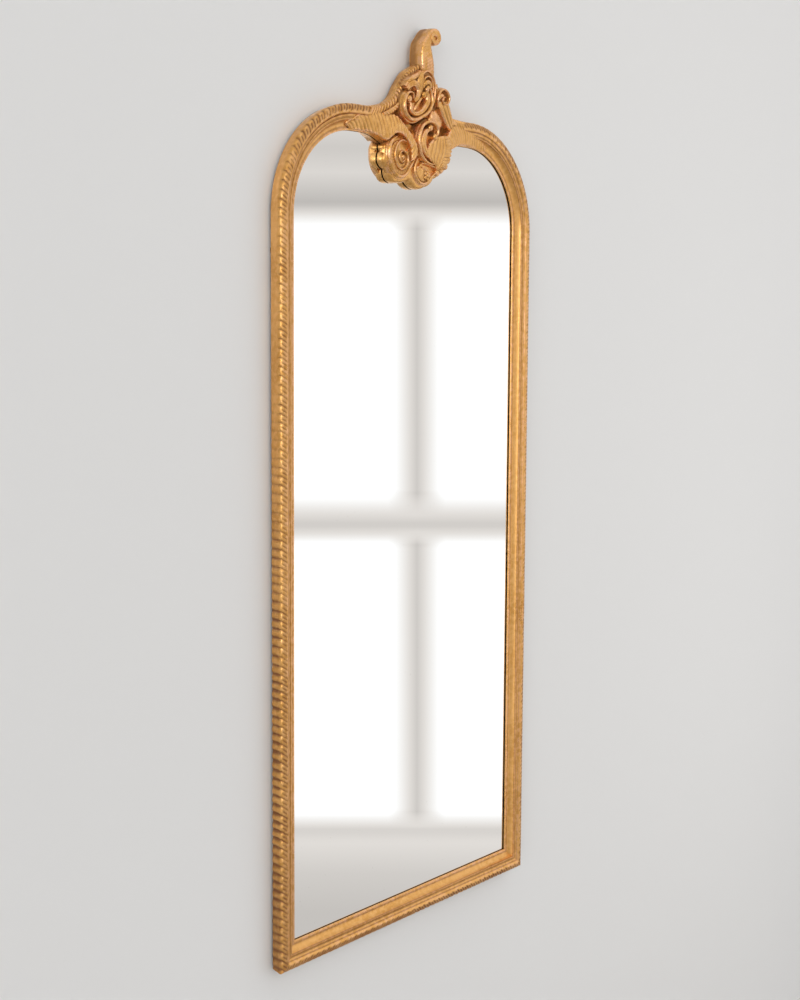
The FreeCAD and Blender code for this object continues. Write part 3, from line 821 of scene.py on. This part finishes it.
def right_volute_leaf():
    head = [(57, 1830, 4, 29), (54, 1847, 5, 33), (60, 1862, 6, 34), (73, 1869, 6, 34), (87, 1865, 6, 34),
            (94, 1852, 6, 34), (89, 1840, 5, 33), (78, 1837, 4.5, 33), (70, 1844, 4, 33),
            (72, 1852, 3.5, 33), (80, 1853, 3, 33)]
    left = [(60, 1842, 26), (64, 1826, 28), (76, 1809, 27), (92, 1794, 24), (108, 1785, 20),
            (121, 1781, 18)]
    right = [(94, 1844, 28), (99, 1832, 30), (107, 1817, 29), (116, 1803, 26), (124, 1793, 22),
             (127, 1784, 18)]
    return [band(head, rimmed), sheet(left, right, 3.0, flutes(3, 2.2), across=49),
            dome(76, 1853, 18, 29, GROUND_H), dome(70, 1806, 26, 22, GROUND_H)]


def plume_finial():
    rows = [(26, 1892, 21, 27), (24, 1907, 22.5, 28), (22, 1922, 23, 28), (20, 1940, 21, 27),
            (20, 1956, 18, 26), (26, 1970, 13, 26), (34, 1982, 10.5, 26), (44, 1989, 9.5, 27),
            (54, 1988, 9, 28), (60, 1979, 8, 28), (55, 1970, 7, 28), (46, 1967, 6.5, 28), (38, 1972, 6, 28),
            (37, 1981, 5, 28), (44, 1985, 4, 28), (49, 1981, 3, 28)]

    def cut(run, v):
        return ribs(7.0, 0.8, 8.0)(run, v)
    return [band(rows, pillow, cut, base=-5.0), dome(48, 1978, 17, 25, base=-5.0)]


CARVED_NODES = {
    "crest_block": crest_ground,
    "pendant_boss": pendant_body,
    "left_shoulder": left_shoulder,
    "right_shoulder": right_shoulder,
    "left_wing": left_wing,
    "right_wing": right_wing,
    "left_volute": left_volute,
    "centre_scroll": centre_scroll,
    "rocaille_fan": rocaille_fan,
    "pendant_shell": pendant_shell,
    "upper_scroll": upper_scroll,
    "flame_leaf": flame_leaf,
    "crown_curl": crown_curl,
    "right_volute_leaf": right_volute_leaf,
    "plume_finial": plume_finial,
}

CELL = 1.5


def relief_map(shells):
    """The height of the finished relief over a grid of the crest's face."""
    points = np.concatenate([points[wall < 0.5] for points, _, wall in shells])
    low = points[:, [0, 2]].min(0) - 20
    relief = np.zeros(tuple(((points[:, [0, 2]].max(0) + 20 - low) / CELL).astype(int)))
    spot = ((points[:, [0, 2]] - low) / CELL).astype(int)
    np.maximum.at(relief, (spot[:, 0], spot[:, 1]), GLASS_Y - points[:, 1])
    for axis in (0, 1):
        relief = np.maximum(relief, np.minimum(np.roll(relief, 1, axis), np.roll(relief, -1, axis)))
    return low, relief


def blurred(grid, radius):
    for axis in (0, 1):
        for _ in range(2):
            grid = sum(np.roll(grid, shift, axis) for shift in range(-radius, radius + 1)) / (2 * radius + 1)
    return grid


def sample(grid, spots):
    """The grid read between its cells."""
    cell = np.floor(spots - 0.5).astype(int)
    (i, j), (u, v) = cell.T, (spots - 0.5 - cell).T
    near = grid[i, j] * (1 - u) + grid[i + 1, j] * u
    return near * (1 - v) + (grid[i, j + 1] * (1 - u) + grid[i + 1, j + 1] * u) * v


def carve_crest():
    made = {node: build() for node, build in CARVED_NODES.items()}
    shells = [shell for parts in made.values() for shell in parts]
    low, relief = relief_map(shells)
    near, far = blurred(relief, 2), blurred(relief, 8)
    for node, parts in made.items():
        points = np.concatenate([part[0] for part in parts])
        wall = np.concatenate([part[2] for part in parts])
        starts = np.cumsum([0, *(len(part[0]) for part in parts)])
        faces = [tuple(i + start for i in face) for start, part in zip(starts, parts) for face in part[1]]
        piece = new_object("carved_" + node, points, faces, [CARVED_GILT], 50)
        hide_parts(node)
        spots = (points[:, [0, 2]] - low) / CELL
        height = GLASS_Y - points[:, 1]
        # Painted shade, with age, from the relief itself: creases and parts lying below the carving around
        # them are darkened, and so are walls under taller carving
        around = sample(far, spots)
        fine = sample(near, spots) - height
        inside = smooth(around, 9, 18)
        carved = np.clip(fine / 2.0, 0, 1) * (0.6 + 0.4 * inside) + np.clip(around - height, 0, None) / 26
        on_wall = 0.9 * inside * np.clip((around - height) / 12, 0, 1)
        shade_and_age_mask = np.where(wall > 0.5, on_wall, np.clip(carved, 0, 1))
        add_field(piece, "shade_and_age_mask", shade_and_age_mask)
        add_field(piece, "high", np.clip(-fine / 1.2, 0, 1) * (wall < 0.5))


carve_crest()

NODE_MATERIALS = {
    "back_board": BOARD_WOOD,
    "glass_liner": felt("black_card", (0.03, 0.03, 0.03), (0.012, 0.012, 0.012)),
    "wall_pads": felt("brown_felt", (0.22, 0.15, 0.09), (0.10, 0.065, 0.04)),
}
IRON = metal("blackened_iron", (0.075, 0.070, 0.066), (0.16, 0.065, 0.025), 0.42, 0.62, 0.05)
ZINC = metal("screw_zinc", (0.48, 0.47, 0.44), (0.22, 0.12, 0.06), 0.28, 0.42, 0.0)
BRASSED = metal("brassed_steel", (0.66, 0.50, 0.26), (0.25, 0.15, 0.07), 0.22, 0.38, 0.02)
for node_name, cad_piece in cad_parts.items():
    if node_name.endswith("_screws"):
        finish = ZINC
    elif node_name.startswith(("corner_plate", "splice_plate", "crest_strap")):
        finish = IRON
    elif node_name.startswith(("hanger_strap", "d_ring")):
        finish = BRASSED
    else:
        finish = NODE_MATERIALS.get(node_name, CARVED_GILT)
    cad_piece.data.materials.clear()
    cad_piece.data.materials.append(finish)


# ---------------------------------------------------------------- camera

CAMERA_AT = Vector((-2.887, -2.264, 1.362))
YAW, PITCH, ROLL = math.radians(51.80), math.radians(6.256), math.radians(0.346)
LENS = 58.98

forward = Vector((math.sin(YAW) * math.cos(PITCH), math.cos(YAW) * math.cos(PITCH), -math.sin(PITCH)))
level_right = Vector((math.cos(YAW), -math.sin(YAW), 0))
level_up = level_right.cross(forward)
right = level_right * math.cos(ROLL) + level_up * math.sin(ROLL)
up = level_up * math.cos(ROLL) - level_right * math.sin(ROLL)
camera = bpy.data.objects.new("camera", bpy.data.cameras.new("camera"))
bpy.context.scene.collection.objects.link(camera)
rotation = Matrix((right, up, -forward)).transposed()
camera.matrix_world = Matrix.Translation(CAMERA_AT) @ rotation.to_4x4()
camera.data.lens = LENS
camera.data.sensor_width = 36
bpy.context.scene.camera = camera


# ---------------------------------------------------------------- stage and light

def stage_plane(name, corners, material, order=(0, 1, 2, 3)):
    mesh = bpy.data.meshes.new(name)
    mesh.from_pydata(corners, [], [order])
    plane = bpy.data.objects.new(name, mesh)
    bpy.context.scene.collection.objects.link(plane)
    mesh.materials.append(material)
    return plane


def paint(name, colour):
    material, tree, shader = node_tree(name)
    shader.inputs["Base Color"].default_value = (*colour, 1)
    shader.inputs["Roughness"].default_value = 0.9
    shader.inputs["Specular IOR Level"].default_value = 0.1
    return material, tree, shader


def one_sided(material, tree, shader):
    """Lets the view from behind the wall see through it."""
    clear = tree.nodes.new("ShaderNodeBsdfTransparent")
    mix = tree.nodes.new("ShaderNodeMixShader")
    link(tree, tree.nodes.new("ShaderNodeNewGeometry").outputs["Backfacing"], mix.inputs["Fac"])
    link(tree, shader.outputs[0], mix.inputs[1])
    link(tree, clear.outputs[0], mix.inputs[2])
    link(tree, mix.outputs[0], tree.nodes["Material Output"].inputs["Surface"])
    return material


ROOM = 9.0
FLOOR_Z = -0.95
WALL_Y = 0.0006
wall_corners = [(-ROOM, WALL_Y, FLOOR_Z), (ROOM, WALL_Y, FLOOR_Z), (ROOM, WALL_Y, ROOM),
                (-ROOM, WALL_Y, ROOM)]
wall = stage_plane("wall", wall_corners, one_sided(*paint("wall_paint", (0.725, 0.72, 0.712))))
floor_corners = [(-ROOM, -ROOM, FLOOR_Z), (ROOM, -ROOM, FLOOR_Z), (ROOM, ROOM, FLOOR_Z),
                 (-ROOM, ROOM, FLOOR_Z)]
stage_plane("floor", floor_corners, paint("floor_paint", (0.56, 0.55, 0.54))[0])

# The mirror shows a tall soft-edged window: where it stands is worked out back through the mirror.
WINDOW_DISTANCE = 6.0       # from the camera, by way of the mirror
WINDOW_LEFT, WINDOW_RIGHT, WINDOW_TOP, WINDOW_BOTTOM = -0.62, 0.62, 1.66, -1.80
MULLION_X, MULLION_HALF = 0.062, 0.105
WINDOW_BANDS = [    # how far above the camera's axis, and how bright it is there
    (1.36, 0.74), (1.29, 0.66), (1.20, 0.76), (1.087, 0.54), (1.034, 0.94), (0.985, 1.25), (0.035, 1.25),
    (-0.038, 0.87), (-0.091, 0.66), (-0.128, 0.86), (-0.170, 1.25), (-1.135, 1.25), (-1.165, 1.0),
    (-1.208, 0.71), (-1.253, 0.81), (-1.366, 0.68), (-1.51, 0.60),
]
ROOM_TINT, DAYLIGHT = (1.0, 0.955, 0.915), (1.0, 1.0, 1.0)
MIRROR_Y = (GLASS_Y + SILVER_DEPTH) * MM


def through_mirror(x, y, distance):
    """The place in the room that the mirror shows x right and y up of the camera's axis."""
    seen = CAMERA_AT + forward * distance + right * x + up * y
    return (seen.x, 2 * MIRROR_Y - seen.y, seen.z)


def window_glow(name):
    material = bpy.data.materials.new(name)
    material.use_nodes = True
    tree = material.node_tree
    tree.nodes.clear()
    output = tree.nodes.new("ShaderNodeOutputMaterial")
    emission = tree.nodes.new("ShaderNodeEmission")
    rows = tree.nodes.new("ShaderNodeValToRGB")
    link(tree, field(tree, "rise"), rows.inputs["Fac"])
    bands = sorted(((y - WINDOW_BOTTOM) / (WINDOW_TOP - WINDOW_BOTTOM), glow) for y, glow in WINDOW_BANDS)
    stops = rows.color_ramp.elements
    while len(stops) < len(bands):
        stops.new(0.5)
    for stop, (place, glow) in zip(stops, bands):
        stop.position = place
    for stop, (place, glow) in zip(stops, bands):
        stop.color = (glow, glow, glow, 1)
    off_mullion = math_node(tree, "SUBTRACT", field(tree, "across"), MULLION_X)
    off_mullion = math_node(tree, "ABSOLUTE", off_mullion, 0.0)
    shade = math_node(tree, "MULTIPLY", ramp(tree, off_mullion, 0.0, MULLION_HALF, 0.47, 0.0),
                      ramp(tree, rows.outputs["Color"], 0.80, 1.20))
    bright = math_node(tree, "MULTIPLY", rows.outputs["Color"], math_node(tree, "SUBTRACT", 1.0, shade))
    tint = mix_colour(tree, ramp(tree, bright, 0.80, 1.10), ROOM_TINT, DAYLIGHT)
    link(tree, tint, emission.inputs["Color"])
    link(tree, bright, emission.inputs["Strength"])
    link(tree, emission.outputs[0], output.inputs["Surface"])
    return material


window_spots = [(x, y) for y in (WINDOW_BOTTOM, WINDOW_TOP) for x in (WINDOW_LEFT, WINDOW_RIGHT)]
window_corners = [through_mirror(x, y, WINDOW_DISTANCE) for x, y in window_spots]
window = stage_plane("window", window_corners, window_glow("window_light"), (0, 1, 3, 2))
add_field(window, "across", [x for x, _ in window_spots])
add_field(window, "rise", [(y - WINDOW_BOTTOM) / (WINDOW_TOP - WINDOW_BOTTOM) for _, y in window_spots])
window.visible_camera = False
window.visible_shadow = False


def soft_light(name, at, towards, size, watts):
    data = bpy.data.lights.new(name, "AREA")
    data.shape = "RECTANGLE"
    data.size, data.size_y = size
    data.energy = watts
    lamp = bpy.data.objects.new(name, data)
    bpy.context.scene.collection.objects.link(lamp)
    lamp.location = at
    lamp.rotation_euler = (Vector(towards) - Vector(at)).to_track_quat("-Z", "Y").to_euler()
    lamp.visible_camera = False
    return lamp


def soft_sun(name, source, strength, spread):
    data = bpy.data.lights.new(name, "SUN")
    data.energy = strength
    data.angle = math.radians(spread)
    sun = bpy.data.objects.new(name, data)
    bpy.context.scene.collection.objects.link(sun)
    sun.rotation_euler = (-Vector(source)).to_track_quat("-Z", "Y").to_euler()
    return sun


soft_sun("key", (2.4, -3.0, 0.5), 0.07, 45)
behind = soft_light("behind", (0.6, 3.2, 2.0), (0, 0, 1.0), (3.0, 2.0), 90)
# The wall doesn't stop the lamp behind it, so that the back of the mirror can be looked at
no_blockers = bpy.data.collections.new("lets_the_lamp_through")
no_blockers.objects.link(wall)
no_blockers.collection_objects[0].light_linking.link_state = "EXCLUDE"
behind.light_linking.blocker_collection = no_blockers
behind.data.cycles.max_bounces = 0

AMBIENT = 0.82
SOFTBOXES = [       # where each lies, its half angle and soft edge in degrees, and how bright it is
    ((-0.88, -0.42, 0.12), 7, 7, 5.0),
    ((-0.50, -0.82, 0.28), 8, 12, 1.3),
    ((0.30, -0.55, 0.85), 26, 22, 0.22),
]


def room_light():
    """An even room with soft bright patches far away."""
    world = bpy.data.worlds.new("room")
    bpy.context.scene.world = world
    world.use_nodes = True
    tree = world.node_tree
    direction = tree.nodes.new("ShaderNodeTexCoord").outputs["Generated"]
    total = AMBIENT
    for source, size, edge, strength in SOFTBOXES:
        facing = tree.nodes.new("ShaderNodeVectorMath")
        facing.operation = "DOT_PRODUCT"
        link(tree, direction, facing.inputs[0])
        facing.inputs[1].default_value = Vector(source).normalized()
        outer, inner = math.cos(math.radians(size + edge)), math.cos(math.radians(size))
        patch = ramp(tree, facing.outputs["Value"], outer, inner, 0.0, strength)
        total = math_node(tree, "ADD", patch, total)
    link(tree, total, tree.nodes["Background"].inputs["Color"])


room_light()
bpy.context.scene.view_settings.view_transform = "Standard"
